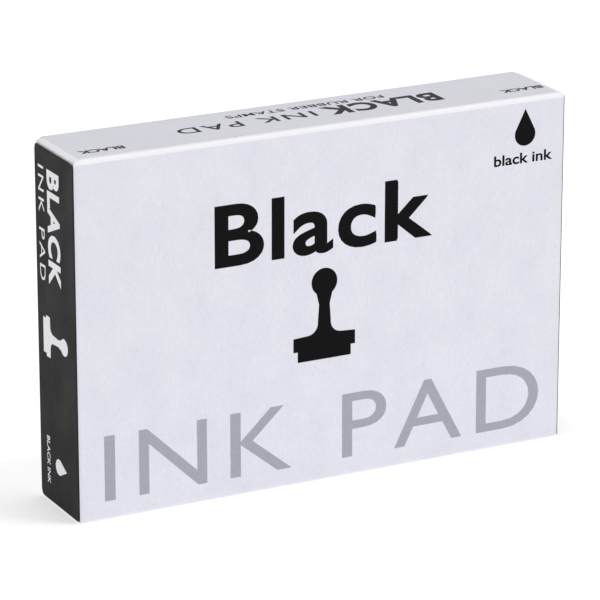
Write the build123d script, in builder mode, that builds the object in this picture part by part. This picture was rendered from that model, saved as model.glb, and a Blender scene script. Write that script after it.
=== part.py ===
from build123d import *
import os

# An ink pad in its retail carton, in millimetres. The carton stands on a long narrow side:
# X runs along its length, Z is up, and its large printed panel faces -Y. The origin is the
# centre of the footprint. The carton is a deep cover over a shallow tray. In it lies the pad's
# hinged case, with the inked face of the pad turned to the printed panel.

# ---- carton ------------------------------------------------------------------------------
CARTON_L = 130.0  # along X
CARTON_H = 88.6  # along Z, as it stands
CARTON_T = 22.4  # along Y
BOARD = 0.5  # carton board
LONG_CREASE_R = 1.2  # outside radius of the creases beside the printed panel's long edges
END_CREASE_R = 0.8  # outside radius of every other crease
TAB_L = 25.0  # corner glue tabs of the cover
END_STEP = 0.55  # the end panel's cut edges stand back this far from the long sides
GLUE_SLOT = 0.35  # gap between a corner tab and the end panel's crease
COVER_GAP = 0.3  # all round, between cover and tray
TRAY_DEPTH = 13.2
TRAY_TAB_L = 18.0

FRONT_Y = -CARTON_T / 2
BACK_Y = CARTON_T / 2
MID_Z = CARTON_H / 2
CUT = 1.0  # cutting blocks run this far past the material that they remove
NEAR = 0.01  # half width of the band in which an edge is looked for

# ---- leaflet -----------------------------------------------------------------------------
LEAFLET_L = 112.0
LEAFLET_H = 76.0
LEAFLET_T = 0.3
LEAFLET_SLIT = 0.06

# ---- case --------------------------------------------------------------------------------
CASE_L = 124.0
CASE_BOTTOM = 1.9
CASE_TOP = 84.6
CASE_CORNER_R = 7.0
CASE_EDGE_R = 1.8
CASE_H = CASE_TOP - CASE_BOTTOM
CASE_Z = (CASE_TOP + CASE_BOTTOM) / 2
LID_FACE_Y = -9.8
HINGE_Y = -3.0  # the parting plane, which holds the hinge axis
BASE_FACE_Y = 9.6
PART_GAP = 0.1  # each rim stands back this far from the parting plane
BASE_WALL = 2.4
BASE_FLOOR = 1.6
LID_WALL = 1.5
LID_TOP = 1.6
RIM_T = 0.6  # sealing rim on the base, inside the lid's wall
RIM_H = 1.2
RIB_T = 1.0
RIB_H = 2.6
RIBS_UP = 6  # ribs that run along Z
RIBS_ALONG = 4  # ribs that run along X

# ---- hinge, catch and finger lip ---------------------------------------------------------
HINGE_Z = CASE_TOP
HINGE_X = 38.0
KNUCKLE_R = 1.5
KNUCKLE_NOTCH_R = 1.8
KNUCKLE_FOOT = 3.0  # the knuckle's foot runs this far down its shell
KNUCKLE_RAMP = 1.35  # chamfer where that foot meets the shell
LID_KNUCKLE_L = 7.0
BASE_KNUCKLE_L = 5.0
KNUCKLE_PLAY = 0.3
PIN_R = 0.7
PIN_BORE_R = 0.78
CATCH_W = 14.0
CATCH_T = 0.5
CATCH_POCKET = 0.7
CATCH_TOP_Y = -7.6
CATCH_TIP_Y = -0.4
LIP_W = 40.0
LIP_T = 1.5
LIP_OUT = 1.0
CATCH_R = 1.5

# ---- ink pad -----------------------------------------------------------------------------
INK_L = 106.0  # the usable inked face
INK_H = 67.0
PAD_FACE_Y = -4.0
FLANGE_Y = -2.2  # the clamped edge of the cloth, under the frame
FRAME_FACE_Y = -3.4
CLOTH_T = 0.4
PAD_EDGE = 2.4  # the felt runs this far under the frame
PAD_PLAY = 0.3
PAD_TRAY_WALL = 0.9
PAD_TRAY_FLOOR = 0.8
BACKING_T = 1.0
PAD_Z = CASE_Z
PAD_R = 3.0  # corners of the pad, seen from the front
PAD_FACE_R = 1.0  # rounding of the inked face's rim
FRAME_EDGE_R = 0.5
SKIRT_T = 1.0  # the frame's skirt, round the pad's tray
SKIRT_H = 3.0

# ---- trim --------------------------------------------------------------------------------
FOOT_R = 4.0
FOOT_T = 0.6
FOOT_X = 50.0
FOOT_Z = 30.0
LABEL_T = 0.12
LABEL_RECESS = 0.2
LABEL_CLEAR = 0.15
BASE_LABEL_L = 70.0
BASE_LABEL_H = 34.0
LID_LABEL_L = 96.0
LID_LABEL_H = 56.0
LABEL_R = 2.0
GASKET_W = 1.8
GASKET_GAP = 0.2
LINER_T = 0.6


def facing(y):
    """The XZ plane at this Y, looking to the front: extrusions go towards -Y."""
    return Plane.XZ.offset(-y)


def block(x0, x1, y0, y1, z0, z1, mode=Mode.ADD):
    """A box between two corners, in the part that is being built."""
    centre = ((x0 + x1) / 2, (y0 + y1) / 2, (z0 + z1) / 2)
    with Locations(centre):
        Box(x1 - x0, y1 - y0, z1 - z0, mode=mode)


def slab(length, height, radius, y_back, y_front, z=MID_Z, mode=Mode.ADD):
    """A plate with rounded corners, parallel to the printed panel."""
    with BuildSketch(facing(y_back)) as outline:
        with Locations((0, z)):
            if radius > 0:
                RectangleRounded(length, height, radius)
            else:
                Rectangle(length, height)
    extrude(outline.sketch, amount=y_back - y_front, mode=mode)


def rod(x0, x1, radius, mode=Mode.ADD):
    """A cylinder on the hinge axis."""
    with BuildSketch(Plane.YZ.offset(x0)) as outline:
        with Locations((HINGE_Y, HINGE_Z)):
            Circle(radius)
    extrude(outline.sketch, amount=x1 - x0, mode=mode)


def finish(builder, label):
    builder.part.label = label
    export_step(builder.part, f"parts/{label}.step")


os.makedirs("parts", exist_ok=True)


# ==== carton cover ========================================================================
TAB_X = CARTON_L / 2 - BOARD  # outer face of the corner tabs
TAB_START_Y = FRONT_Y + BOARD + GLUE_SLOT
CREASE_X = CARTON_L / 2 - END_CREASE_R  # where the printed panel turns into an end panel

# the space inside, with the long creases' inner radii
with BuildPart() as cover_space:
    block(-TAB_X + BOARD, TAB_X - BOARD, FRONT_Y + BOARD, BACK_Y + CUT, BOARD, CARTON_H - BOARD)
    fillet(
        cover_space.edges().filter_by(Axis.X).sort_by(Axis.Y)[:2],
        LONG_CREASE_R - BOARD,
    )

with BuildPart() as cover_board:
    block(-TAB_X, TAB_X, FRONT_Y, BACK_Y, 0, CARTON_H)
    long_creases = cover_board.edges().filter_by(Axis.X).filter_by_position(
        Axis.Y, FRONT_Y - NEAR, FRONT_Y + NEAR
    )
    fillet(long_creases, LONG_CREASE_R)
    tab_creases = cover_board.edges().filter_by(Axis.Y)
    fillet(tab_creases, END_CREASE_R)
    add(cover_space.part, mode=Mode.SUBTRACT)
    for side in (-1, 1):
        # only the corner tabs close the ends of this piece
        x0, x1 = sorted((side * (TAB_X - BOARD), side * (TAB_X + BOARD)))
        block(x0, x1, FRONT_Y + BOARD, BACK_Y + CUT, TAB_L, CARTON_H - TAB_L, mode=Mode.SUBTRACT)
        # the end panel's crease, and the slot that frees the tabs from the printed panel
        block(x0, x1, FRONT_Y + BOARD, TAB_START_Y, BOARD, CARTON_H - BOARD, mode=Mode.SUBTRACT)
        x0, x1 = sorted((side * CREASE_X, side * (TAB_X + BOARD)))
        block(x0, x1, FRONT_Y - CUT, TAB_START_Y, END_STEP, CARTON_H - END_STEP, mode=Mode.SUBTRACT)
finish(cover_board, "cover_board")

for side, name in ((-1, "cover_end_left"), (1, "cover_end_right")):
    outer_x = side * CARTON_L / 2
    inner_x = side * TAB_X
    crease_x = side * CREASE_X
    crease_y = FRONT_Y + END_CREASE_R
    with BuildPart() as cover_end:
        with BuildSketch(Plane.XY.offset(END_STEP)):
            with BuildLine():
                Line((outer_x, BACK_Y), (outer_x, crease_y))
                RadiusArc((outer_x, crease_y), (crease_x, FRONT_Y), side * END_CREASE_R)
                Line((crease_x, FRONT_Y), (crease_x, FRONT_Y + BOARD))
                RadiusArc(
                    (crease_x, FRONT_Y + BOARD),
                    (inner_x, crease_y),
                    -side * (END_CREASE_R - BOARD),
                )
                Line((inner_x, crease_y), (inner_x, BACK_Y))
                Line((inner_x, BACK_Y), (outer_x, BACK_Y))
            make_face()
        extrude(amount=CARTON_H - 2 * END_STEP)
    finish(cover_end, name)

# ==== carton tray =========================================================================
TRAY_X = TAB_X - BOARD - COVER_GAP
TRAY_Z0 = BOARD + COVER_GAP
TRAY_Z1 = CARTON_H - TRAY_Z0
TRAY_FRONT_Y = BACK_Y - TRAY_DEPTH

with BuildPart() as tray_board:
    block(-TRAY_X, TRAY_X, TRAY_FRONT_Y, BACK_Y, TRAY_Z0, TRAY_Z1)
    back_creases = tray_board.faces().sort_by(Axis.Y)[-1].edges()
    fillet(back_creases, END_CREASE_R)
    block(
        -TRAY_X + BOARD,
        TRAY_X - BOARD,
        TRAY_FRONT_Y - CUT,
        BACK_Y - BOARD,
        TRAY_Z0 + BOARD,
        TRAY_Z1 - BOARD,
        mode=Mode.SUBTRACT,
    )
    for side in (-1, 1):
        x0, x1 = sorted((side * (TRAY_X - BOARD), side * (TRAY_X - 2 * BOARD)))
        tab_back = BACK_Y - BOARD - GLUE_SLOT
        block(x0, x1, TRAY_FRONT_Y + BOARD, tab_back, TRAY_Z0 + BOARD, TRAY_Z0 + TRAY_TAB_L)
        block(x0, x1, TRAY_FRONT_Y + BOARD, tab_back, TRAY_Z1 - TRAY_TAB_L, TRAY_Z1 - BOARD)
finish(tray_board, "tray_board")

with BuildPart() as leaflet:
    leaf_y = BACK_Y - BOARD
    slab(LEAFLET_L, LEAFLET_H, 0, leaf_y, leaf_y - LEAFLET_T)
    # one fold, along the upper edge
    slit_y = leaf_y - (LEAFLET_T - LEAFLET_SLIT) / 2
    block(
        -LEAFLET_L,
        LEAFLET_L,
        slit_y - LEAFLET_SLIT,
        slit_y,
        0,
        MID_Z + LEAFLET_H / 2 - LEAFLET_T,
        mode=Mode.SUBTRACT,
    )
finish(leaflet, "instruction_leaflet")

# ==== case base ===========================================================================
BASE_RIM_Y = HINGE_Y + PART_GAP
LID_RIM_Y = HINGE_Y - PART_GAP
BASE_IN_Y = BASE_FACE_Y - BASE_FLOOR
LID_IN_Y = LID_FACE_Y + LID_TOP
IN_L = CASE_L - 2 * BASE_WALL
IN_H = CASE_H - 2 * BASE_WALL
IN_R = CASE_CORNER_R - BASE_WALL
RIM_L = IN_L + 2 * RIM_T
RIM_HEIGHT = IN_H + 2 * RIM_T
RIM_TIP_Y = HINGE_Y - RIM_H
HINGE_SPAN = LID_KNUCKLE_L / 2 + KNUCKLE_PLAY + BASE_KNUCKLE_L


def base_knuckle_spans(centre):
    """Start and end, along X, of the two base knuckles of one hinge."""
    inner = LID_KNUCKLE_L / 2 + KNUCKLE_PLAY
    return (
        (centre - inner - BASE_KNUCKLE_L, centre - inner),
        (centre + inner, centre + inner + BASE_KNUCKLE_L),
    )


with BuildPart() as case_base:
    slab(CASE_L, CASE_H, CASE_CORNER_R, BASE_FACE_Y, BASE_RIM_Y, CASE_Z)
    fillet(case_base.faces().sort_by(Axis.Y)[-1].edges(), CASE_EDGE_R)
    slab(RIM_L, RIM_HEIGHT, IN_R + RIM_T, BASE_RIM_Y, RIM_TIP_Y, CASE_Z)
    slab(IN_L, IN_H, IN_R, BASE_IN_Y, RIM_TIP_Y, CASE_Z, mode=Mode.SUBTRACT)
    # ribs that carry the pad's tray
    with BuildSketch(facing(BASE_IN_Y)):
        with Locations((0, CASE_Z)):
            with GridLocations(INK_L / (RIBS_UP - 1), INK_H, RIBS_UP, 1):
                Rectangle(RIB_T, IN_H)
            with GridLocations(INK_L, INK_H / (RIBS_ALONG - 1), 1, RIBS_ALONG):
                Rectangle(IN_L, RIB_T)
    extrude(amount=RIB_H)
    # recesses for the label and, on the free side, for the catch
    slab(
        BASE_LABEL_L, BASE_LABEL_H, LABEL_R, BASE_FACE_Y, BASE_FACE_Y - LABEL_RECESS, CASE_Z,
        mode=Mode.SUBTRACT,
    )
    block(
        -CATCH_W / 2 - KNUCKLE_PLAY,
        CATCH_W / 2 + KNUCKLE_PLAY,
        BASE_RIM_Y - CUT,
        CATCH_TIP_Y + KNUCKLE_PLAY,
        CASE_BOTTOM - CUT,
        CASE_BOTTOM + CATCH_POCKET,
        mode=Mode.SUBTRACT,
    )
    for centre in (-HINGE_X, HINGE_X):
        lid_half = LID_KNUCKLE_L / 2 + KNUCKLE_PLAY
        rod(centre - lid_half, centre + lid_half, KNUCKLE_NOTCH_R, mode=Mode.SUBTRACT)
        for start, end in base_knuckle_spans(centre):
            rod(start, end, KNUCKLE_R)
            block(start, end, HINGE_Y, HINGE_Y + KNUCKLE_FOOT, HINGE_Z - CUT, HINGE_Z + KNUCKLE_R)
            foot_edge = case_base.edges().filter_by(Axis.X).filter_by_position(
                Axis.X, start, end
            ).sort_by_distance((start, HINGE_Y + KNUCKLE_FOOT, HINGE_Z + KNUCKLE_R))[0]
            chamfer(foot_edge, KNUCKLE_RAMP)
        rod(centre - HINGE_SPAN - CUT, centre + HINGE_SPAN + CUT, PIN_R, mode=Mode.SUBTRACT)
finish(case_base, "case_base")

with BuildPart() as feet:
    with BuildSketch(facing(BASE_FACE_Y + FOOT_T)):
        with Locations((0, CASE_Z)):
            with GridLocations(2 * FOOT_X, 2 * FOOT_Z, 2, 2):
                Circle(FOOT_R)
    extrude(amount=FOOT_T)
    chamfer(feet.faces().filter_by(Axis.Y).group_by(Axis.Y)[-1].edges(), FOOT_T / 3)
finish(feet, "base_feet")

with BuildPart() as base_label:
    slab(
        BASE_LABEL_L - 2 * LABEL_CLEAR,
        BASE_LABEL_H - 2 * LABEL_CLEAR,
        LABEL_R - LABEL_CLEAR,
        BASE_FACE_Y - LABEL_RECESS + LABEL_T,
        BASE_FACE_Y - LABEL_RECESS,
        CASE_Z,
    )
finish(base_label, "base_label")

with BuildPart() as hinge_pins:
    for centre in (-HINGE_X, HINGE_X):
        rod(centre - HINGE_SPAN, centre + HINGE_SPAN, PIN_R)
finish(hinge_pins, "hinge_pins")

# ==== ink pad =============================================================================
PAD_TRAY_BACK_Y = BASE_IN_Y - RIB_H
BACKING_Y = PAD_TRAY_BACK_Y - PAD_TRAY_FLOOR
FELT_BACK_Y = BACKING_Y - BACKING_T
FELT_L = INK_L + 2 * PAD_EDGE
FELT_H = INK_H + 2 * PAD_EDGE
PAD_TRAY_L = FELT_L + 2 * (CLOTH_T + PAD_TRAY_WALL)
PAD_TRAY_H = FELT_H + 2 * (CLOTH_T + PAD_TRAY_WALL)


def pad_form(shrink):
    """The pad's outside, made smaller by this much: a block with a raised face."""
    slab(
        FELT_L + 2 * (CLOTH_T - shrink), FELT_H + 2 * (CLOTH_T - shrink), PAD_R - shrink,
        FELT_BACK_Y, FLANGE_Y + shrink, PAD_Z,
    )
    slab(
        INK_L - 2 * (PAD_PLAY + shrink), INK_H - 2 * (PAD_PLAY + shrink), PAD_R - shrink,
        FLANGE_Y + shrink, PAD_FACE_Y + shrink, PAD_Z,
    )


with BuildPart() as pad_tray:
    slab(PAD_TRAY_L, PAD_TRAY_H, PAD_R + PAD_TRAY_WALL, PAD_TRAY_BACK_Y, FLANGE_Y, PAD_Z)
    slab(
        PAD_TRAY_L - 2 * PAD_TRAY_WALL, PAD_TRAY_H - 2 * PAD_TRAY_WALL, PAD_R,
        BACKING_Y, FLANGE_Y, PAD_Z, mode=Mode.SUBTRACT,
    )
finish(pad_tray, "pad_tray")

with BuildPart() as backing_board:
    slab(FELT_L, FELT_H, PAD_R, BACKING_Y, FELT_BACK_Y, PAD_Z)
finish(backing_board, "backing_board")

with BuildPart() as felt:
    pad_form(CLOTH_T)
    fillet(felt.faces().sort_by(Axis.Y)[0].edges(), PAD_FACE_R - CLOTH_T)
finish(felt, "felt_reservoir")

with BuildPart() as cloth:
    pad_form(0)
    fillet(cloth.faces().sort_by(Axis.Y)[0].edges(), PAD_FACE_R)
    add(felt.part, mode=Mode.SUBTRACT)
finish(cloth, "pad_cloth")

with BuildPart() as pad_frame:
    slab(IN_L, IN_H, IN_R, FLANGE_Y, FRAME_FACE_Y, PAD_Z)
    # a skirt round the pad's tray
    slab(
        PAD_TRAY_L + 2 * (PAD_PLAY + SKIRT_T), PAD_TRAY_H + 2 * (PAD_PLAY + SKIRT_T),
        PAD_R + PAD_TRAY_WALL + SKIRT_T, FLANGE_Y + SKIRT_H, FLANGE_Y, PAD_Z,
    )
    slab(
        PAD_TRAY_L + 2 * PAD_PLAY, PAD_TRAY_H + 2 * PAD_PLAY,
        PAD_R + PAD_TRAY_WALL, FLANGE_Y + SKIRT_H, FLANGE_Y, PAD_Z, mode=Mode.SUBTRACT,
    )
    slab(INK_L, INK_H, PAD_R, FLANGE_Y, FRAME_FACE_Y, PAD_Z, mode=Mode.SUBTRACT)
    fillet(pad_frame.faces().sort_by(Axis.Y)[0].inner_wires()[0].edges(), FRAME_EDGE_R)
finish(pad_frame, "pad_frame")

# ==== case lid ============================================================================
LID_IN_L = CASE_L - 2 * LID_WALL
LID_IN_H = CASE_H - 2 * LID_WALL
LID_IN_R = CASE_CORNER_R - LID_WALL

with BuildPart() as case_lid:
    slab(CASE_L, CASE_H, CASE_CORNER_R, LID_RIM_Y, LID_FACE_Y, CASE_Z)
    fillet(case_lid.faces().sort_by(Axis.Y)[0].edges(), CASE_EDGE_R)
    slab(LID_IN_L, LID_IN_H, LID_IN_R, LID_RIM_Y, LID_IN_Y, CASE_Z, mode=Mode.SUBTRACT)
    slab(
        LID_LABEL_L, LID_LABEL_H, LABEL_R, LID_FACE_Y + LABEL_RECESS, LID_FACE_Y, CASE_Z,
        mode=Mode.SUBTRACT,
    )
    # finger lip under the free edge, with the catch's pocket behind it
    block(
        -LIP_W / 2, LIP_W / 2, LID_RIM_Y - LIP_T, LID_RIM_Y,
        CASE_BOTTOM - LIP_OUT, CASE_BOTTOM + CUT,
    )
    block(
        -CATCH_W / 2 - KNUCKLE_PLAY,
        CATCH_W / 2 + KNUCKLE_PLAY,
        CATCH_TOP_Y,
        LID_RIM_Y + CUT,
        CASE_BOTTOM,
        CASE_BOTTOM + CATCH_POCKET,
        mode=Mode.SUBTRACT,
    )
    for centre in (-HINGE_X, HINGE_X):
        for start, end in base_knuckle_spans(centre):
            rod(start - KNUCKLE_PLAY, end + KNUCKLE_PLAY, KNUCKLE_NOTCH_R, mode=Mode.SUBTRACT)
        start = centre - LID_KNUCKLE_L / 2
        end = centre + LID_KNUCKLE_L / 2
        rod(start, end, KNUCKLE_R)
        block(start, end, HINGE_Y - KNUCKLE_FOOT, HINGE_Y, HINGE_Z - CUT, HINGE_Z + KNUCKLE_R)
        foot_edge = case_lid.edges().filter_by(Axis.X).sort_by_distance(
            (centre, HINGE_Y - KNUCKLE_FOOT, HINGE_Z + KNUCKLE_R)
        )[0]
        chamfer(foot_edge, KNUCKLE_RAMP)
        rod(start - CUT, end + CUT, PIN_BORE_R, mode=Mode.SUBTRACT)
finish(case_lid, "case_lid")

with BuildPart() as lid_gasket:
    slab(LID_IN_L, LID_IN_H, LID_IN_R, RIM_TIP_Y - GASKET_GAP, LID_IN_Y, CASE_Z)
    slab(
        LID_IN_L - 2 * GASKET_W, LID_IN_H - 2 * GASKET_W, LID_IN_R - GASKET_W,
        RIM_TIP_Y - GASKET_GAP, LID_IN_Y, CASE_Z, mode=Mode.SUBTRACT,
    )
finish(lid_gasket, "lid_gasket")

with BuildPart() as lid_liner:
    slab(
        LID_IN_L - 2 * (GASKET_W + PAD_PLAY), LID_IN_H - 2 * (GASKET_W + PAD_PLAY),
        LID_IN_R - GASKET_W, LID_IN_Y + LINER_T, LID_IN_Y, CASE_Z,
    )
finish(lid_liner, "lid_liner")

with BuildPart() as lid_label:
    slab(
        LID_LABEL_L - 2 * LABEL_CLEAR,
        LID_LABEL_H - 2 * LABEL_CLEAR,
        LABEL_R - LABEL_CLEAR,
        LID_FACE_Y + LABEL_RECESS,
        LID_FACE_Y + LABEL_RECESS - LABEL_T,
        CASE_Z,
    )
finish(lid_label, "lid_label")

with BuildPart() as lid_catch:
    block(
        -CATCH_W / 2,
        CATCH_W / 2,
        CATCH_TOP_Y,
        CATCH_TIP_Y,
        CASE_BOTTOM + CATCH_POCKET - CATCH_T,
        CASE_BOTTOM + CATCH_POCKET,
    )
    fillet(
        lid_catch.edges().filter_by(Axis.Z).filter_by_position(
            Axis.Y, CATCH_TIP_Y - NEAR, CATCH_TIP_Y + NEAR
        ),
        CATCH_R,
    )
finish(lid_catch, "lid_catch")
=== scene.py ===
import math

import bmesh
import bpy
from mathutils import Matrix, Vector, noise


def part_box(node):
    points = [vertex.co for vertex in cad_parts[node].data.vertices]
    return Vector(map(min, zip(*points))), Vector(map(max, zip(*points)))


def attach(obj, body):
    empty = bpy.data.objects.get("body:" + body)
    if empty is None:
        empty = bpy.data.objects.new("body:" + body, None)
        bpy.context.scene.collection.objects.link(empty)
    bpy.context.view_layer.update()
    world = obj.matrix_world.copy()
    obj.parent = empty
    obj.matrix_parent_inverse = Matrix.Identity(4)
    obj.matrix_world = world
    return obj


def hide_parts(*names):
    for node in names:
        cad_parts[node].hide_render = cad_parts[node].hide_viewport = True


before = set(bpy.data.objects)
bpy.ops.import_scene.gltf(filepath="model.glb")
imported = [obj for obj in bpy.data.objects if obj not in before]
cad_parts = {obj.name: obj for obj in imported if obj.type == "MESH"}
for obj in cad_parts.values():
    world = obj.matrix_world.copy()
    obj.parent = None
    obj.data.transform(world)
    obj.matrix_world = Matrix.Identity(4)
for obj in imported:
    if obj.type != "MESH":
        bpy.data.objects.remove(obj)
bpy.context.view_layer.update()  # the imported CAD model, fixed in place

MM = 0.001

# The carton's outside, from its CAD nodes. Lengths are in metres, as in the frame.
lo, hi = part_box("cover_board")
end_lo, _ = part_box("cover_end_left")
FRONT, BACK = lo.y, hi.y
TOP = hi.z
TAB_X = hi.x  # outer face of the corner tabs
END_X = -end_lo.x  # outer face of the black end panels
BOARD = END_X - TAB_X
LONG_R = 1.2 * MM  # creases between the printed panel and the long sides
END_R = 0.8 * MM  # creases at the ends
TAB_L = 25 * MM
PRINT_T = 0.02 * MM  # printed ink, as a thin plate
NEAR = 1e-9  # rounding
WELD = 1e-7  # lettering's points that lie this close are one
CAP_SHARE = 0.7  # a capital's height in the font's size
SHARP_DEG = 40  # the board's edges stay sharp above this angle
WAVE_RADIANS = 20  # a wave texture's phase over one unit, at a scale of 1

# Camera and studio. Angles are an azimuth and an elevation, in degrees.
LENS = 230.6  # in millimetres, like the sensor
SENSOR = 36
CAMERA_TARGET = Vector((-1.44 * MM, 0, 42.5 * MM))
CAMERA_ANGLES = (-27.27, 18.42)
CAMERA_DISTANCE = 0.9226
WORLD_STRENGTH = 0.68
FLOOR_REACH = 6
FLOOR_GLOW = 0.34


# ---- camera and studio -------------------------------------------------------------------
def look(obj, place, target):
    """Puts a camera or light at a place, turned to its target."""
    obj.location = place
    obj.rotation_mode = "QUATERNION"
    obj.rotation_quaternion = (Vector(target) - Vector(place)).to_track_quat("-Z", "Y")
    bpy.context.scene.collection.objects.link(obj)


def direction(azimuth, elevation):
    """Unit vector from the object to a viewer: azimuth 0 is in front, negative is to the left."""
    a = math.radians(azimuth)
    e = math.radians(elevation)
    return Vector((math.sin(a) * math.cos(e), -math.cos(a) * math.cos(e), math.sin(e)))


def make_camera():
    data = bpy.data.cameras.new("camera")
    data.sensor_width = SENSOR
    data.lens = LENS
    camera = bpy.data.objects.new("camera", data)
    look(camera, CAMERA_TARGET + direction(*CAMERA_ANGLES) * CAMERA_DISTANCE, CAMERA_TARGET)
    bpy.context.scene.camera = camera


def make_light(name, azimuth, elevation, distance, size, watts):
    data = bpy.data.lights.new(name, "AREA")
    data.shape = "SQUARE"
    data.size = size
    data.energy = watts
    light = bpy.data.objects.new(name, data)
    target = Vector((0, 0, TOP / 2))
    look(light, target + direction(azimuth, elevation) * distance, target)


def make_floor():
    """A white floor, which glows enough to stay white in the object's shade."""
    mesh = bpy.data.meshes.new("floor")
    turns = ((-1, -1), (1, -1), (1, 1), (-1, 1))
    corners = [(x * FLOOR_REACH, y * FLOOR_REACH, 0) for x, y in turns]
    mesh.from_pydata(corners, [], [(0, 1, 2, 3)])
    floor = bpy.data.objects.new("floor", mesh)
    bpy.context.scene.collection.objects.link(floor)
    paint = bpy.data.materials.new("floor_paint")
    paint.use_nodes = True
    shader = paint.node_tree.nodes["Principled BSDF"]
    shader.inputs["Base Color"].default_value = (0.96, 0.96, 0.965, 1)
    shader.inputs["Roughness"].default_value = 0.9
    shader.inputs["Specular IOR Level"].default_value = 0.1
    shader.inputs["Emission Color"].default_value = (1, 1, 1, 1)
    shader.inputs["Emission Strength"].default_value = FLOOR_GLOW
    mesh.materials.append(paint)
    return floor


def make_studio():
    scene = bpy.context.scene
    scene.view_settings.view_transform = "Standard"
    world = bpy.data.worlds.new("studio")
    world.use_nodes = True
    background = world.node_tree.nodes["Background"]
    background.inputs["Color"].default_value = (1, 1, 1, 1)
    background.inputs["Strength"].default_value = WORLD_STRENGTH
    scene.world = world
    make_light("key", azimuth=54, elevation=57.6, distance=2.6, size=0.68, watts=13)
    make_floor()


# ---- material kit ------------------------------------------------------------------------
def srgb(red, green, blue):
    """A display colour, 0 to 255, as the linear colour that shaders use."""
    linear = []
    for value in (red, green, blue):
        c = value / 255
        linear.append(c / 12.92 if c <= 0.04045 else ((c + 0.055) / 1.055) ** 2.4)
    return (*linear, 1)


def node(tree, kind, inputs=None, **settings):
    """Adds a shader node. An input is a number, a colour, or another node's output socket."""
    made = tree.nodes.new(kind)
    for name, value in settings.items():
        setattr(made, name, value)
    for name, value in (inputs or {}).items():
        if isinstance(value, bpy.types.NodeSocket):
            tree.links.new(value, made.inputs[name])
        else:
            made.inputs[name].default_value = value
    return made


class Surface:
    """A Principled material whose detail is added layer by layer from the object's own place."""

    def __init__(self, name, roughness, specular=0.5, metallic=0.0):
        self.material = bpy.data.materials.new(name)
        self.material.use_nodes = True
        self.tree = self.material.node_tree
        self.shader = self.tree.nodes["Principled BSDF"]
        self.shader.inputs["Roughness"].default_value = roughness
        self.shader.inputs["Specular IOR Level"].default_value = specular
        self.shader.inputs["Metallic"].default_value = metallic
        self.place = node(self.tree, "ShaderNodeTexCoord").outputs["Object"]
        self.bump_from = None

    def grain(self, size_mm, detail=3.0, rough=0.55, stretch=(1, 1, 1)):
        """Noise whose blobs are about this large, stretched by these factors along X, Y and Z."""
        scale = [1000 / (size_mm * s) for s in stretch]
        mapped = node(self.tree, "ShaderNodeMapping", {"Vector": self.place, "Scale": scale})
        made = node(
            self.tree,
            "ShaderNodeTexNoise",
            {"Vector": mapped.outputs["Vector"], "Scale": 1.0, "Detail": detail, "Roughness": rough},
        )
        return made.outputs["Fac"]

    def ramp(self, fac, low, high, dark, light):
        """Two colours between two levels of a grey input."""
        made = node(self.tree, "ShaderNodeValToRGB", {"Fac": fac})
        made.color_ramp.elements[0].position = low
        made.color_ramp.elements[0].color = dark
        made.color_ramp.elements[1].position = high
        made.color_ramp.elements[1].color = light
        return made.outputs["Color"]

    def mix(self, fac, a, b, blend="MIX"):
        """Blends two colours. The node's sockets share names, so they are taken by number."""
        made = node(self.tree, "ShaderNodeMix", data_type="RGBA", blend_type=blend)
        for index, value in ((0, fac), (6, a), (7, b)):
            if isinstance(value, bpy.types.NodeSocket):
                self.tree.links.new(value, made.inputs[index])
            else:
                made.inputs[index].default_value = value
        return made.outputs[2]

    def colour(self, socket):
        self.tree.links.new(socket, self.shader.inputs["Base Color"])

    def shine(self, fac, low, high):
        """Roughness that wanders between two values with a grey input."""
        made = node(
            self.tree,
            "ShaderNodeMapRange",
            {"Value": fac, "From Min": 0.3, "From Max": 0.7, "To Min": low, "To Max": high},
        )
        self.tree.links.new(made.outputs["Result"], self.shader.inputs["Roughness"])

    def bump(self, fac, depth_mm, strength=1.0):
        """Adds a relief of about this depth on top of the reliefs added before."""
        inputs = {"Height": fac, "Distance": depth_mm * MM, "Strength": strength}
        if self.bump_from is not None:
            inputs["Normal"] = self.bump_from
        made = node(self.tree, "ShaderNodeBump", inputs)
        self.bump_from = made.outputs["Normal"]
        self.tree.links.new(self.bump_from, self.shader.inputs["Normal"])


# ---- mesh kit ----------------------------------------------------------------------------
def piece(name, mesh_or_bmesh, materials, body, smooth_deg=None):
    """Makes an object of a mesh, which rides on a body."""
    if isinstance(mesh_or_bmesh, bmesh.types.BMesh):
        bmesh.ops.recalc_face_normals(mesh_or_bmesh, faces=mesh_or_bmesh.faces)
        mesh = bpy.data.meshes.new(name)
        mesh_or_bmesh.to_mesh(mesh)
        mesh_or_bmesh.free()
    else:
        mesh = mesh_or_bmesh
    for material in materials:
        mesh.materials.append(material)
    made = bpy.data.objects.new(name, mesh)
    bpy.context.scene.collection.objects.link(made)
    if smooth_deg is not None:
        mesh.shade_smooth()
        mesh.set_sharp_from_angle(angle=math.radians(smooth_deg))
    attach(made, body)
    return made


def steps(start, end, count):
    return [start + (end - start) * i / count for i in range(count + 1)]


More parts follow.
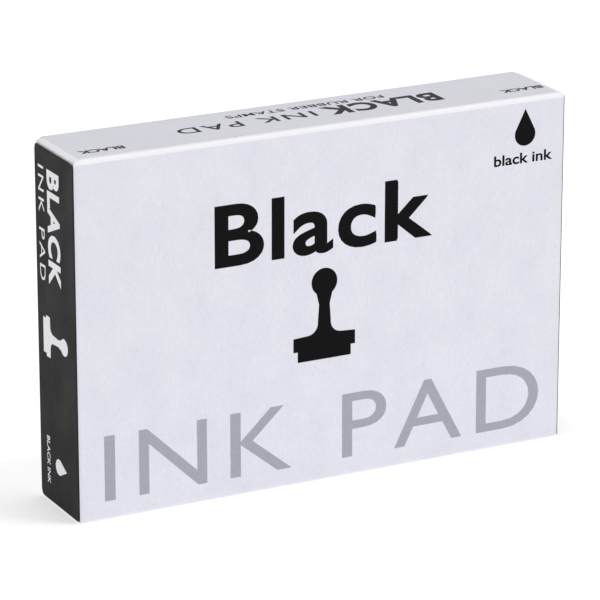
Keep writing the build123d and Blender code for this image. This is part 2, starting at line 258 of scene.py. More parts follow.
def folded_sheet(columns, rows, keep, outer, inner, edge_material=1, inner_material=2):
    """A closed board. keep(i, j) says which cells of the flat blank exist; outer and inner give
    the two faces' places for a blank point. The blank's cut edges and its inner face have
    materials of their own."""
    made = bmesh.new()
    verts = {}

    def vert(i, j, side):
        key = (i, j, side)
        if key not in verts:
            place = (outer if side else inner)(columns[i], rows[j])
            verts[key] = made.verts.new(place)
        return verts[key]

    cells = {
        (i, j)
        for i in range(len(columns) - 1)
        for j in range(len(rows) - 1)
        if keep(i, j)
    }
    for i, j in cells:
        ring = ((i, j), (i + 1, j), (i + 1, j + 1), (i, j + 1))
        made.faces.new([vert(a, b, 1) for a, b in ring])
        under = made.faces.new([vert(a, b, 0) for a, b in reversed(ring)])
        under.material_index = inner_material
        for (a, b), (c, d), other in (
            (ring[0], ring[1], (i, j - 1)),
            (ring[1], ring[2], (i + 1, j)),
            (ring[2], ring[3], (i, j + 1)),
            (ring[3], ring[0], (i - 1, j)),
        ):
            if other not in cells:
                wall = made.faces.new([vert(c, d, 1), vert(a, b, 1), vert(a, b, 0), vert(c, d, 0)])
                wall.material_index = edge_material
    return made


def plate(flat, thickness, place):
    """Makes a closed plate of flat faces: place(x, y, h) puts a point at height h."""
    made = bmesh.new()
    lower = [made.verts.new(place(v.co.x, v.co.y, 0)) for v in flat.verts]
    upper = [made.verts.new(place(v.co.x, v.co.y, thickness)) for v in flat.verts]
    flat.verts.index_update()
    for face in flat.faces:
        ids = [v.index for v in face.verts]
        made.faces.new([upper[i] for i in ids])
        made.faces.new([lower[i] for i in reversed(ids)])
    for edge in flat.edges:
        if len(edge.link_faces) == 1:
            a, b = (v.index for v in edge.verts)
            made.faces.new([upper[a], upper[b], lower[b], lower[a]])
    flat.free()
    return made


def lettering(words, cap_height, weight=0.0, spacing=1.0, width=None):
    """Flat faces of plain lettering, centred on the origin."""
    curve = bpy.data.curves.new("lettering", "FONT")
    curve.body = words
    curve.size = cap_height / CAP_SHARE
    curve.offset = weight
    curve.space_character = spacing
    curve.resolution_u = 6
    holder = bpy.data.objects.new("lettering", curve)
    bpy.context.scene.collection.objects.link(holder)
    graph = bpy.context.evaluated_depsgraph_get()
    mesh = bpy.data.meshes.new_from_object(holder.evaluated_get(graph))
    bpy.data.objects.remove(holder)
    flat = bmesh.new()
    flat.from_mesh(mesh)
    bpy.data.meshes.remove(mesh)
    bmesh.ops.remove_doubles(flat, verts=flat.verts, dist=WELD)
    xs = [v.co.x for v in flat.verts]
    ys = [v.co.y for v in flat.verts]
    middle = Vector(((min(xs) + max(xs)) / 2, (min(ys) + max(ys)) / 2, 0))
    stretch_x = width / (max(xs) - min(xs)) if width else 1
    stretch_y = cap_height / (max(ys) - min(ys))
    for v in flat.verts:
        v.co = Vector(((v.co.x - middle.x) * stretch_x, (v.co.y - middle.y) * stretch_y, 0))
    return flat


def outline(points):
    """Flat face inside a closed outline."""
    flat = bmesh.new()
    flat.faces.new([flat.verts.new((x, y, 0)) for x, y in points])
    return flat


def arc(centre, radius, start_deg, end_deg, count):
    return [
        (
            centre[0] + radius * math.cos(math.radians(a)),
            centre[1] + radius * math.sin(math.radians(a)),
        )
        for a in steps(start_deg, end_deg, count)
    ]


def drop(height):
    """An ink drop, with its centre near the origin."""
    radius = height * 0.31
    low = (0, -height * 0.19)
    tip = (0, height * 0.5)
    side = arc(low, radius, -205, 25, 28)
    return outline([*side, tip])


def hand_stamp(height):
    """A plain hand stamp seen from the side: knob, neck, shoulder and base."""
    h = height
    right = [
        *arc((0, 0.34 * h), 0.15 * h, 88, -52, 12),
        (0.062 * h, 0.10 * h),
        (0.075 * h, -0.08 * h),
        *arc((0.20 * h, -0.10 * h), 0.125 * h, 180, 262, 6),
        (0.36 * h, -0.235 * h),
        (0.36 * h, -0.385 * h),
        (0.31 * h, -0.385 * h),
        (0.31 * h, -0.5 * h),
    ]
    left = [(-x, y) for x, y in reversed(right)]
    return outline([*right, *left])


# ---- board and print materials -----------------------------------------------------------
def board_fibres(made):
    """Fine upright fibres, the same in the board and in the ink on it."""
    return made.grain(0.34, 4.0, 0.65, (1, 1, 3.2))


def board_surface(name, dark, light, roughness, specular, fibre=1.0, painted_highlight=False):
    """Coated carton board: fine upright fibres, a faint mottle and a little relief."""
    made = Surface(name, roughness, specular)
    fibres = board_fibres(made)
    mottle = made.grain(9.0, 3.0, 0.6, (1, 1, 1.4))
    speck = made.grain(0.12, 2.0, 0.6)
    base = made.ramp(fibres, 0.30, 0.70, dark, light)
    cloud = made.ramp(mottle, 0.35, 0.65, (0.955, 0.955, 0.962, 1), (1, 1, 1, 1))
    tone = made.mix(1.0, base, cloud, "MULTIPLY")
    # with painted_highlight on, the colour is painted whiter along the upper creases as a painted highlight
    made.colour(paint_crease_highlight(made, tone) if painted_highlight else tone)
    made.shine(mottle, roughness - 0.06, roughness + 0.08)
    made.bump(mottle, 0.05, 0.5 * fibre)
    made.bump(fibres, 0.012, 0.55 * fibre)
    made.bump(speck, 0.005, 0.4 * fibre)
    return made.material


def paint_crease_highlight(made, base):
    """Painted highlight: the coating's colour is painted whiter along the upper side's creases, at the
    front and at both ends, where they catch the light.
    """
    split = node(made.tree, "ShaderNodeSeparateXYZ", {"Vector": made.place})

    def math_node(operation, a, b):
        return node(made.tree, "ShaderNodeMath", {0: a, 1: b}, operation=operation).outputs[0]

    from_front = math_node("SUBTRACT", split.outputs["Y"], FRONT)
    from_top = math_node("SUBTRACT", TOP, split.outputs["Z"])
    from_end = math_node("SUBTRACT", TAB_X, math_node("ABSOLUTE", split.outputs["X"], 0))
    reach = {"From Min": 0.95 * MM, "From Max": 1.35 * MM, "To Min": 1.0, "To Max": 0.0}
    masks = []
    for gap in (math_node("ADD", from_front, from_top), math_node("ADD", from_end, from_top)):
        ranged = node(
            made.tree,
            "ShaderNodeMapRange",
            {"Value": gap, **reach},
            interpolation_type="SMOOTHSTEP",
        )
        masks.append(ranged.outputs["Result"])
    # painted highlight: near-white colour mixed in along the front-top crease and both end-top creases
    painted_highlight = math_node("MAXIMUM", masks[0], masks[1])
    return made.mix(painted_highlight, base, srgb(251, 251, 255))


def print_surface(name, dark, light, roughness, specular):
    """Printed ink on the board, which keeps the board's fibres."""
    made = Surface(name, roughness, specular)
    fibres = board_fibres(made)
    made.colour(made.ramp(fibres, 0.3, 0.7, dark, light))
    made.shine(fibres, roughness - 0.05, roughness + 0.05)
    made.bump(fibres, 0.010, 0.4)
    return made.material


# the white board carries the painted crease highlight
WHITE_BOARD = board_surface(
    "carton_white", srgb(225, 225, 235), srgb(235, 235, 244), 0.33, 0.5, painted_highlight=True
)
BLACK_BOARD = board_surface("carton_black", srgb(20, 19, 18), srgb(30, 29, 28), 0.5, 0.08)
PLAIN_BOARD = board_surface(
    "carton_plain", srgb(206, 205, 209), srgb(222, 221, 224), 0.7, 0.2, fibre=1.6
)
CUT_EDGE = board_surface(
    "carton_cut_edge", srgb(176, 175, 180), srgb(204, 203, 208), 0.85, 0.1, fibre=2.0
)
BLACK_PRINT = print_surface("print_black", srgb(7, 6, 7), srgb(14, 13, 14), 0.45, 0.07)
GREY_PRINT = print_surface("print_grey", srgb(163, 163, 173), srgb(174, 174, 184), 0.42, 0.25)
DARK_GREY_PRINT = print_surface("print_dark_grey", srgb(34, 33, 36), srgb(46, 44, 48), 0.45, 0.08)
WHITE_PRINT = print_surface("print_white", srgb(226, 226, 232), srgb(238, 238, 243), 0.45, 0.3)


# ---- carton cover ------------------------------------------------------------------------
HALF_H = TOP / 2
FLAT_HALF = HALF_H - LONG_R  # flat half height of the printed panel
LONG_ARC = LONG_R * math.pi / 2
SKIRT_END = FLAT_HALF + LONG_ARC + (BACK - FRONT - LONG_R)
FLAT_X = TAB_X - END_R  # flat half length of the long sides
END_ARC = END_R * math.pi / 2
TAB_END = FLAT_X + END_ARC + TAB_L - END_R
FRONT_X = END_X - END_R  # the printed panel turns into an end panel here
# white print runs this far round that crease, on the left (-1) and on the right (1)
WRAP = {-1: END_R * math.radians(58), 1: END_R * math.radians(20)}
END_TOP = TOP - 0.95 * MM  # the black panels' cut edges, under the upper and lower white folds
END_FOOT = 0.3 * MM
# how far a panel lies inside its creases, in mm: beside them, at its middle, and its waves
PANEL_SINK, PANEL_HOLLOW, PANEL_WAVE = 0.035, 0.16, 0.05
SKIRT_SINK, SKIRT_HOLLOW, SKIRT_WAVE = 0.03, 0.10, 0.03
END_SINK, END_HOLLOW = 0.03, 0.12
STIFF = 2.5 * MM  # the panels ease into that over this width
# reach along the length and drop of the bent back corners, on the left (-1) and right (1)
CORNER_BEND = {-1: (1.5 * MM, 0.95 * MM), 1: (1.8 * MM, 0.45 * MM)}
CORNER_DEPTH = 3.4 * MM  # the same bend's reach from the back edge
CORNER_CURVE = 1.3
TAB_LEAN = 1.5  # in radians; the glue tabs lean more and are not bent
END_BACK_R = 1.5 * MM  # the end panels' rounded corners
END_FRONT_R = 0.9 * MM


def sink(x, z):
    """How far the printed panel lies behind its creases: the board is slightly hollow."""
    across = 1 - (x / END_X) ** 2
    up = 1 - ((z - HALF_H) / HALF_H) ** 2
    wave = noise.noise(Vector((x * 14, 3.1, z * 17))) * PANEL_WAVE
    rim = min(1.0, (END_X - abs(x)) / STIFF, (HALF_H - abs(z - HALF_H)) / STIFF)
    return (PANEL_SINK + (PANEL_HOLLOW + wave) * across * up) * MM * max(rim, 0)


def skirt_sink(x, depth):
    """How far a long side lies inside its creases; depth is counted from the front."""
    run = (depth - LONG_R) / (BACK - FRONT - LONG_R)
    along = 1 - (x / END_X) ** 2
    rim = min(1.0, max(0.0, (FLAT_X - abs(x)) / STIFF))
    start = min(1, max(0, run * 6))
    wave = noise.noise(Vector((x * 20, depth * 30, 7.7))) * SKIRT_WAVE
    hollow = (SKIRT_HOLLOW + wave) * along * max(0, min(1, run))
    return (SKIRT_SINK + hollow) * MM * rim * start


def cover_profile(b):
    """Depth from the front, height from the middle, outward normal at blank position b."""
    side = 1 if b >= 0 else -1
    s = abs(b)
    if s <= FLAT_HALF:
        return 0.0, b, (-1.0, 0.0)
    if s <= FLAT_HALF + LONG_ARC:
        t = (s - FLAT_HALF) / LONG_R
        depth = LONG_R * (1 - math.cos(t))
        height = FLAT_HALF + LONG_R * math.sin(t)
        return depth, side * height, (-math.cos(t), side * math.sin(t))
    return LONG_R + s - FLAT_HALF - LONG_ARC, side * HALF_H, (0.0, float(side))


def corner_drop(x, depth):
    """The free back corners of the long sides are bent in a little, the left ones more."""
    reach, drop_by = CORNER_BEND[-1 if x < 0 else 1]
    near_end = max(0.0, 1 - (TAB_X - abs(x)) / reach)
    near_back = max(0.0, 1 - (BACK - FRONT - depth) / CORNER_DEPTH)
    return drop_by * near_end**CORNER_CURVE * near_back**CORNER_CURVE


def cover_point(a, b, inset):
    """A blank point's place: a runs along the length, b round the profile."""
    depth, height, normal = cover_profile(b)
    sign = 1 if a >= 0 else -1
    across = abs(a)
    turn = min(1.0, max(0.0, (abs(b) - FLAT_HALF) / LONG_ARC))
    start = FRONT_X + (FLAT_X - FRONT_X) * turn  # where the end crease begins in this row
    if across <= start:
        x, fall, lean = across, 0.0, 0.0
    elif across <= start + END_ARC:
        lean = (across - start) / END_R
        x, fall = start + END_R * math.sin(lean), END_R * (1 - math.cos(lean))
    else:
        x, fall, lean = start + END_R, END_R + across - start - END_ARC, math.pi / 2
    up = Vector((0, normal[0], normal[1]))
    out = up * math.cos(lean) + Vector((sign * math.sin(lean), 0, 0))
    place = Vector((sign * x, FRONT + depth, HALF_H + height)) - up * fall
    if lean == 0 and turn == 0:
        place.y += sink(place.x, place.z)
    elif turn == 1:
        bent = corner_drop(place.x, depth) if lean < TAB_LEAN else 0.0
        place -= up * (skirt_sink(x, depth) + bent)
    return place - out * inset


def cover_rows():
    """Blank positions round the profile, closer together at the creases and the back edge."""
    near_crease = FLAT_HALF - 3 * MM
    near_back = SKIRT_END - 5 * MM
    half = [
        *steps(0, near_crease, 18),
        *steps(near_crease, FLAT_HALF, 6)[1:],
        *steps(FLAT_HALF, FLAT_HALF + LONG_ARC, 10)[1:],
        *steps(FLAT_HALF + LONG_ARC, near_back, 8)[1:],
        *steps(near_back, SKIRT_END, 8)[1:],
    ]
    return [-b for b in reversed(half[1:])] + half


def cover_columns():
    """Blank positions along the length, closer together near the ends."""
    near_end = FLAT_X - 6 * MM
    tab_start = FLAT_X + END_ARC + 0.06 * MM

    def arm(side):
        wrap_end = FRONT_X + WRAP[side]
        return [
            *steps(0, near_end, 26),
            *steps(near_end, FLAT_X, 9)[1:],
            *steps(FRONT_X, wrap_end, 7),
            *steps(wrap_end, tab_start, 5)[1:],
            *steps(tab_start, TAB_END, 6)[1:],
        ]

    return [-a for a in reversed(arm(-1)[1:])] + arm(1)


def make_cover():
    """The printed panel, both long sides and the four corner tabs, folded from one blank."""
    rows = cover_rows()
    columns = cover_columns()
    tab_row = FLAT_HALF + LONG_ARC

    def keep(i, j):
        side = 1 if columns[i] >= 0 else -1
        a = max(abs(columns[i]), abs(columns[i + 1]))
        b = min(abs(rows[j]), abs(rows[j + 1]))
        return a <= FRONT_X + WRAP[side] + NEAR or b >= tab_row - NEAR

    board = folded_sheet(
        columns,
        rows,
        keep,
        lambda a, b: cover_point(a, b, 0),
        lambda a, b: cover_point(a, b, BOARD),
    )
    materials = [WHITE_BOARD, CUT_EDGE, PLAIN_BOARD]
    made = piece("carton_cover", board, materials, "cover", SHARP_DEG)
    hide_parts("cover_board")


def corner_cut(distance, radius):
    """How far a rounded corner's edge lies under the straight edge, near its end."""
    if distance >= radius:
        return 0.0
    return radius - math.sqrt(max(0.0, radius**2 - (radius - distance) ** 2))


def end_bow(y, z):
    """The end panels bulge inwards a little between their edges."""
    across = max(0.0, 1 - (y / BACK) ** 2)
    up = max(0.0, 1 - ((z - HALF_H) / HALF_H) ** 2)
    return (END_SINK + END_HOLLOW * across * up) * MM


def end_point(side, run, z, inset):
    """run goes from the printed panel round the crease and back along the end panel."""
    if run <= END_ARC:
        t = run / END_R
        place = Vector((FRONT_X + END_R * math.sin(t), FRONT + END_R * (1 - math.cos(t)), z))
        out = Vector((math.sin(t), -math.cos(t), 0))
    else:
        y = FRONT + END_R + run - END_ARC
        place = Vector((END_X, y, z))
        out = Vector((1, 0, 0))
        ease = min(1.0, (y - FRONT - END_R) / (1.5 * MM))
        place.x -= end_bow(y, z) * ease
    place -= out * inset
    return Vector((side * place.x, place.y, place.z))


def make_end(side, name, node_name):
    """A black end panel, from the end of the white wrap to the back."""
    last = END_ARC + BACK - FRONT - END_R
    near_back = last - 2 * MM
    zone = 3 * MM  # the rounded corners are drawn in over this height
    runs = [
        *steps(WRAP[side], END_ARC, 4),
        *steps(END_ARC, near_back, 12)[1:],
        *steps(near_back, last, 8)[1:],
    ]
    heights = [
        *steps(END_FOOT, END_FOOT + zone, 4),
        *steps(END_FOOT + zone, END_TOP - zone, 30)[1:],
        *steps(END_TOP - zone, END_TOP, 4)[1:],
    ]

    def rounded(run, z):
        """Draws the panel's four corners in."""
        cut = corner_cut(last - run, END_BACK_R) + corner_cut(run - WRAP[side], END_FRONT_R)
        if z > END_TOP - zone:
            return z - cut * (z - END_TOP + zone) / zone
        if z < END_FOOT + zone:
            return z + cut * (END_FOOT + zone - z) / zone
        return z

    board = folded_sheet(
        runs,
        heights,
        lambda i, j: True,
        lambda a, b: end_point(side, a, rounded(a, b), 0),
        lambda a, b: end_point(side, a, rounded(a, b), BOARD),
    )
    materials = [BLACK_BOARD, CUT_EDGE, PLAIN_BOARD]
    made = piece(name, board, materials, "cover", SHARP_DEG)
    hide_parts(node_name)


# ---- print on the cover ------------------------------------------------------------------
def on_front(x0, z0):
    """Places flat artwork on the printed panel, its origin at x0, z0 in millimetres."""

    def place(u, v, h):
        x = x0 * MM + u
        z = z0 * MM + v
        return Vector((x, FRONT + sink(x, z) - h, z))

    return place


def on_top(x0, y0):
    """Artwork on the upper long side, its letters' tops towards the printed panel."""

    def place(u, v, h):
        x = x0 * MM - u
        y = y0 * MM - v
        return Vector((x, y, TOP - skirt_sink(x, y - FRONT) + h))

    return place


def on_end(side, y0, z0):
    """Artwork on an end panel, its letters' tops towards the printed panel: it reads downwards on
    the left and upwards on the right."""

    def place(u, v, h):
        y = y0 * MM - v
        z = z0 * MM + u * side
        return Vector((side * (END_X - end_bow(y, z) + h), y, z))

    return place


def artwork(name, flat, place, material, slot="carton_black", body="cover", thickness=PRINT_T):
    return piece(name, plate(flat, thickness, place), [material], body)


def write(name, words, cap, width, place, ink, weight=0.0, spacing=1.0, **where):
    """Lettering as artwork. Its capitals' height, its width and its added weight are in mm."""
    flat = lettering(words, cap * MM, weight * MM, spacing, width * MM if width else None)
    return artwork(name, flat, place, ink, **where)


def print_front():
    word_place = on_front(-0.5, 65.1)
    core = {"thickness": 0.9 * PRINT_T}
    write("print_ink_pad", "INK PAD", 16.3, 117.5, on_front(0.2, 12.9), GREY_PRINT, 0, 1.14)
    write("print_black_word", "Black", 15.4, 58, word_place, BLACK_PRINT, 0.5, 1.08)
    # thickening leaves a nick at the first letter's waist; the plain letters fill most of it
    write("print_black_core", "Black", 14.5, 57.1, word_place, BLACK_PRINT, 0, 1.08, **core)
    artwork("print_stamp", hand_stamp(23 * MM), on_front(-0.6, 42.4), BLACK_PRINT)
    artwork("print_drop", drop(9.2 * MM), on_front(53.8, 81.2), BLACK_PRINT)
    write("print_small_word", "black ink", 2.7, 16.2, on_front(53.4, 73.6), BLACK_PRINT, 0.08)


def print_top():
    write("top_word", "BLACK", 7.2, 31, on_top(20.5, 0.1), DARK_GREY_PRINT, 0.4, 1.1)
    write("top_ink_pad", "INK PAD", 4.4, 36, on_top(-15.5, -0.1), DARK_GREY_PRINT, 0.06, 1.2)
    write("top_use", "FOR RUBBER STAMPS", 2.3, 42, on_top(3, 6.0), DARK_GREY_PRINT, 0.05, 1.05)
    for index, (x, y) in enumerate(((-55.4, -5.4), (56.8, -3.9))):
        write(f"top_end_word_{index}", "BLACK", 2.4, 11.5, on_top(x, y), DARK_GREY_PRINT, 0.12)


def print_end(side, name):
    write(f"{name}_word", "BLACK", 7.0, 28, on_end(side, 1.0, 68.8), WHITE_PRINT, 0.4, 1.1)
    write(f"{name}_ink_pad", "INK PAD", 3.0, 28, on_end(side, 7.8, 68.8), WHITE_PRINT, 0, 1.25)
    artwork(f"{name}_stamp", hand_stamp(14 * MM), on_end(side, 1.2, 41.5), WHITE_PRINT)
    artwork(f"{name}_drop", drop(6.4 * MM), on_end(side, -0.6, 10.4), WHITE_PRINT)
    write(f"{name}_small", "BLACK INK", 1.7, 12, on_end(side, 6.6, 10.4), WHITE_PRINT, 0.03)


# ---- prints inside and behind ------------------------------------------------------------
def on_plane(x0, y, z0, facing):
    """Artwork on a plane across Y, at x0 and z0 in millimetres; facing is -1 to the front."""

    def place(u, v, h):
        return Vector((x0 * MM - facing * u, y + facing * (h - PRINT_T / 2), z0 * MM + v))

    return place


def bar(width, height):
    return outline(
        [(-width / 2, -height / 2), (width / 2, -height / 2),
         (width / 2, height / 2), (-width / 2, height / 2)]
    )


def frame_line(width, height, line):
    """A thin rectangular outline with rounded corners."""
    flat = bmesh.new()
    rings = []
    corner = 1.6 * MM
    for inset in (0, line):
        w = width / 2 - inset
        h = height / 2 - inset
        r = corner - inset
        points = [
            point
            for sx, sy, start in ((1, 1, 0), (-1, 1, 90), (-1, -1, 180), (1, -1, 270))
            for point in arc((sx * (w - r), sy * (h - r)), r, start, start + 90, 6)
        ]
        rings.append([flat.verts.new((x, y, 0)) for x, y in points])
    outer, inner = rings
    for i in range(len(outer)):
        j = (i + 1) % len(outer)
        flat.faces.new([outer[i], outer[j], inner[j], inner[i]])
    return flat


def print_tray():
    """A few plain lines on the tray's back, which is the carton's underside when it lies flat."""
    where = {"slot": "carton_plain", "body": "tray"}
    write("tray_title", "INK PAD", 6.5, 44, on_plane(0, BACK, 54, 1), GREY_PRINT, 0.05, 1.2, **where)
    write("tray_colour", "BLACK", 4.6, 22, on_plane(0, BACK, 44, 1), BLACK_PRINT, 0.2, 1.1, **where)
    write("tray_size", "106 x 67 mm", 2.4, 19, on_plane(0, BACK, 36, 1), BLACK_PRINT, 0.04, **where)


def print_lid_label():
    label_lo, label_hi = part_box("lid_label")
    middle = (label_lo.z + label_hi.z) / 2 / MM
    where = {"slot": "label_paper", "body": "lid"}

    def at(x, rise):
        return on_plane(x, label_lo.y, middle + rise, -1)

    artwork("lid_border", frame_line(92 * MM, 52 * MM, 0.35 * MM), at(0, 0), GREY_PRINT, **where)
    write("lid_title", "INK PAD", 9, 64, at(0, 9), GREY_PRINT, 0.05, 1.22, **where)
    write("lid_colour", "BLACK", 8, 38, at(0, -5), BLACK_PRINT, 0.35, 1.1, **where)
    write("lid_use", "FOR RUBBER STAMPS", 2.6, 46, at(0, -15.5), BLACK_PRINT, 0.04, 1.1, **where)
    artwork("lid_drop", drop(9 * MM), at(36, -6), BLACK_PRINT, **where)
    artwork("lid_stamp", hand_stamp(12 * MM), at(-36, -6), BLACK_PRINT, **where)


def print_base_label():
    label_lo, label_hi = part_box("base_label")
    middle = (label_lo.z + label_hi.z) / 2 / MM
    where = {"slot": "label_paper", "body": "case"}
    advice = "store flat, keep the lid closed"

    def at(rise):
        return on_plane(0, label_hi.y, middle + rise, 1)

    artwork("base_border", frame_line(67 * MM, 31 * MM, 0.3 * MM), at(0), GREY_PRINT, **where)
    write("base_title", "BLACK INK PAD", 4, 44, at(7.5), BLACK_PRINT, 0.15, 1.1, **where)
    write("base_line_1", advice, 2.2, 44, at(0), DARK_GREY_PRINT, **where)
    write("base_line_2", "refill with black ink", 2.2, 30, at(-6), DARK_GREY_PRINT, **where)


def print_leaflet():
    """Three numbered pictures on the leaflet: ink the pad, press the stamp, keep it closed."""
    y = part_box("instruction_leaflet")[0].y
    where = {"slot": "leaflet_paper", "body": "tray"}
    column = 36
    line_gap = 3.4

    def at(x, z):
        return on_plane(x, y, z, -1)

    write("leaflet_title", "HOW TO USE", 4, 36, at(0, 73), BLACK_PRINT, 0.1, 1.1, **where)
    pictures = (drop(13 * MM), hand_stamp(15 * MM), frame_line(22 * MM, 13 * MM, 0.8 * MM))
    for index, picture in enumerate(pictures):
        x = (index - 1) * column
        number = str(index + 1)
        write(f"leaflet_number_{index}", number, 4, None, at(x, 62), DARK_GREY_PRINT, 0.1, **where)
        artwork(f"leaflet_picture_{index}", picture, at(x, 48), BLACK_PRINT, **where)
        for line, width in enumerate((27, 27, 27, 22)):
            strip = bar(width * MM, 0.7 * MM)
            place = at(x, 32 - line_gap * line)
            artwork(f"leaflet_line_{index}_{line}", strip, place, DARK_GREY_PRINT, **where)


# ---- the inked pad -----------------------------------------------------------------------
def make_pad():
    """The cloth over the felt: pulled down at the frame, crowned and a little uneven."""
    cloth_lo, cloth_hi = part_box("pad_cloth")
    frame_lo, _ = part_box("pad_frame")
    centre_z = (cloth_lo.z + cloth_hi.z) / 2
    half_l = 52.7 * MM  # the raised face
    half_h = 33.2 * MM
    corner = 2.8 * MM
    shoulder = 1.3 * MM
    skin = 0.3 * MM
    flange = 2.4 * MM  # the cloth's edge, held by the frame
    flange_y = frame_lo.y + 1.25 * MM
    rise = flange_y - cloth_lo.y
    pull_reach = 2.6 * MM  # the frame's pull fades over this distance
    grid = 1.1 * MM

    def inside(x, z):
        """Distance from the raised face's rounded outline, positive inside it."""
        dx = abs(x) - (half_l - corner)
        dz = abs(z) - (half_h - corner)
        outer = math.hypot(max(dx, 0), max(dz, 0))
        return corner - outer - min(max(dx, dz), 0)

    def face(x, b):
        z = b - centre_z
        d = inside(x, z)
        if d <= 0:
            return Vector((x, flange_y, b))
        soft = min(1.0, d / shoulder)
        wall = math.sqrt(1 - (1 - soft) ** 2)
        hollow = (abs(x) / half_l) ** 4 + (abs(z) / half_h) ** 4
        uneven = noise.noise(Vector((x * 45, z * 45, 0.3))) + 0.5 * noise.noise(
            Vector((x * 130, z * 130, 5.1))
        )
        pull = math.exp(-d / pull_reach)
        pucker = noise.noise(Vector((x * 420, z * 420, 2.2))) * pull
        # the parts of the dip, each in millimetres
        dip = 0.06 + 0.11 * hollow + 0.045 * uneven + 0.10 * pull + 0.12 * pucker
        return Vector((x, flange_y - (rise - max(0.0, dip * MM)) * wall, b))

    def lines(half):
        """Grid lines from edge to edge, closer together near the frame."""
        near = half - 4 * MM
        beyond = half + 0.3 * MM
        arm = [*steps(0, near, round(near / grid)), *steps(near, beyond, 26)[1:], half + flange]
        return [-a for a in reversed(arm[1:])] + arm

    cloth = folded_sheet(
        lines(half_l),
        [centre_z + b for b in lines(half_h)],
        lambda i, j: True,
        face,
        lambda a, b: face(a, b) + Vector((0, skin, 0)),
        edge_material=0,
        inner_material=0,
    )
    made = piece("pad_face", cloth, [cloth_surface()], "case", smooth_deg=60)
    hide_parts("pad_cloth")


# ---- materials of the case ---------------------------------------------------------------
def plastic_surface(name, dark, light, roughness, specular, texture_mm=0.25, depth=0.02):
    """Moulded plastic: a fine spark texture, faint flow clouds and handling marks."""
    made = Surface(name, roughness, specular)
    spark = made.grain(texture_mm, 3.0, 0.7)
    flow = made.grain(16, 2.0, 0.5, (1, 1, 2))
    marks = made.grain(3.5, 5.0, 0.7, (2.5, 1, 0.6))
    made.colour(made.ramp(flow, 0.35, 0.65, dark, light))
    made.shine(marks, roughness - 0.07, roughness + 0.09)
    made.bump(flow, 0.04, 0.3)
    made.bump(spark, depth, 0.6)
    return made.material


def felt_surface():
    made = Surface("inked_felt", 0.85, 0.2)
    fibres = made.grain(0.5, 6.0, 0.75, (2.2, 1, 1))
    made.colour(made.ramp(fibres, 0.3, 0.7, srgb(10, 10, 12), srgb(34, 33, 36)))
    made.bump(fibres, 0.2, 0.8)
    return made.material


def cloth_surface():
    """Ink-soaked woven cotton: crossing threads, damp and dry patches."""
    made = Surface("inked_cloth", 0.5, 0.28)
    radian_mm = 0.42  # a radian of the weave, so that the threads lie 2.6 mm apart
    frayed = {"Distortion": 0.6, "Detail": 1.0, "Detail Scale": 0.4}
    waves = []
    for axis in ("X", "Z"):
        thread = node(
            made.tree,
            "ShaderNodeTexWave",
            {"Vector": made.place, "Scale": 1000 / radian_mm / WAVE_RADIANS, **frayed},
            bands_direction=axis,
            wave_type="BANDS",
        )
        waves.append(thread.outputs["Fac"])
    crossing = node(made.tree, "ShaderNodeMath", {0: waves[0], 1: waves[1]}, operation="MULTIPLY")
    damp = made.grain(13, 3.0, 0.6)
    fuzz = made.grain(0.3, 3.0, 0.6)
    threads = made.ramp(crossing.outputs["Value"], 0.05, 0.8, srgb(5, 5, 8), srgb(19, 18, 23))
    wet = made.ramp(damp, 0.4, 0.62, (0.75, 0.75, 0.8, 1), (1, 1, 1, 1))
    made.colour(made.mix(1.0, threads, wet, "MULTIPLY"))
    made.shine(damp, 0.42, 0.66)
    made.bump(crossing.outputs["Value"], 0.12, 0.8)
    made.bump(fuzz, 0.05, 0.5)
    made.shader.inputs["Sheen Weight"].default_value = 0.05
    return made.material


def foam_surface():
    made = Surface("gasket_foam", 0.9, 0.2)
    cells = node(made.tree, "ShaderNodeTexVoronoi", {"Vector": made.place, "Scale": 1000 / 0.5})
    tone = made.ramp(cells.outputs["Distance"], 0.0, 0.7, srgb(30, 30, 32), srgb(74, 73, 76))
    made.colour(tone)
    made.bump(cells.outputs["Distance"], 0.15, 0.8)
    return made.material


def steel_surface(name, roughness):
    made = Surface(name, roughness, 0.5, 1.0)
    brushed = made.grain(0.4, 4.0, 0.6, (14, 1, 1))
    stain = made.grain(2.5, 3.0, 0.6)
    made.colour(made.ramp(stain, 0.3, 0.7, srgb(164, 166, 170), srgb(192, 193, 196)))
    made.shine(brushed, roughness - 0.08, roughness + 0.14)
    made.bump(brushed, 0.01, 0.5)
    return made.material


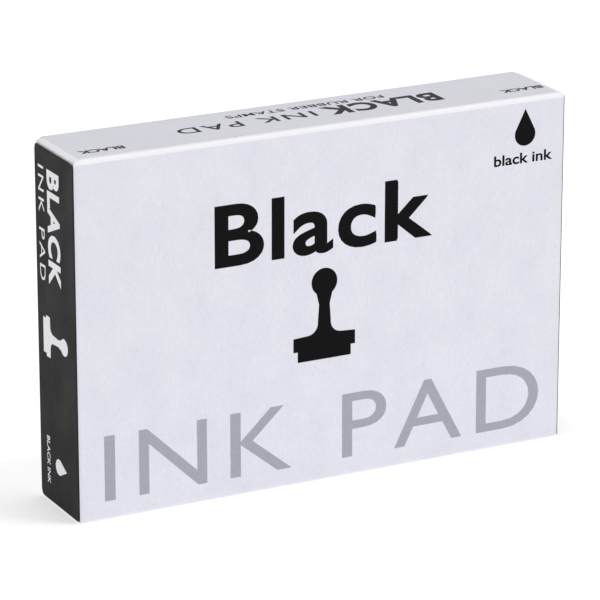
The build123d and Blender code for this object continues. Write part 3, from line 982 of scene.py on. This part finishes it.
def paper_surface(name, dark, light, roughness, relief):
    made = Surface(name, roughness, 0.3)
    fibres = made.grain(0.5, 5.0, 0.65, (2, 1, 1))
    cloud = made.grain(12, 2.0, 0.5)
    fine = made.ramp(fibres, 0.3, 0.7, dark, light)
    broad = made.ramp(cloud, 0.3, 0.7, dark, light)
    made.colour(made.mix(0.5, fine, broad))
    made.bump(cloud, 0.08, 0.3)
    made.bump(fibres, relief, 0.5)
    return made.material


def dress(node_name, material):
    """Gives a CAD node its material."""
    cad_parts[node_name].data.materials[0] = material


def dress_cad():
    case = plastic_surface("case_plastic", srgb(46, 46, 49), srgb(56, 56, 59), 0.38, 0.45)
    label = paper_surface("label_paper", srgb(226, 226, 232), srgb(238, 238, 243), 0.35, 0.01)
    materials = {
        "tray_board": PLAIN_BOARD,
        "instruction_leaflet": paper_surface(
            "leaflet_paper", srgb(222, 221, 218), srgb(240, 239, 236), 0.8, 0.03
        ),
        "case_base": case,
        "case_lid": case,
        "base_feet": plastic_surface(
            "feet_rubber", srgb(26, 26, 27), srgb(38, 38, 39), 0.75, 0.3, texture_mm=0.4, depth=0.05
        ),
        "base_label": label,
        "lid_label": label,
        "hinge_pins": steel_surface("pin_steel", 0.3),
        "lid_catch": steel_surface("catch_steel", 0.25),
        "pad_tray": plastic_surface("tray_plastic", srgb(84, 84, 88), srgb(96, 96, 100), 0.45, 0.4),
        "backing_board": paper_surface(
            "backing_board", srgb(126, 118, 104), srgb(152, 143, 128), 0.9, 0.08
        ),
        "felt_reservoir": felt_surface(),
        "pad_frame": plastic_surface("frame_plastic", srgb(30, 30, 32), srgb(40, 40, 42), 0.3, 0.5),
        "lid_liner": plastic_surface(
            "liner_plastic", srgb(196, 197, 200), srgb(212, 213, 216), 0.32, 0.5, texture_mm=0.6, depth=0.01
        ),
        "lid_gasket": foam_surface(),
    }
    for name, material in materials.items():
        dress(name, material)


make_camera()
make_studio()
make_cover()
make_end(-1, "carton_end_left", "cover_end_left")
make_end(1, "carton_end_right", "cover_end_right")
print_front()
print_top()
print_end(-1, "left")
print_end(1, "right")
print_tray()
print_leaflet()
print_lid_label()
print_base_label()
make_pad()
dress_cad()
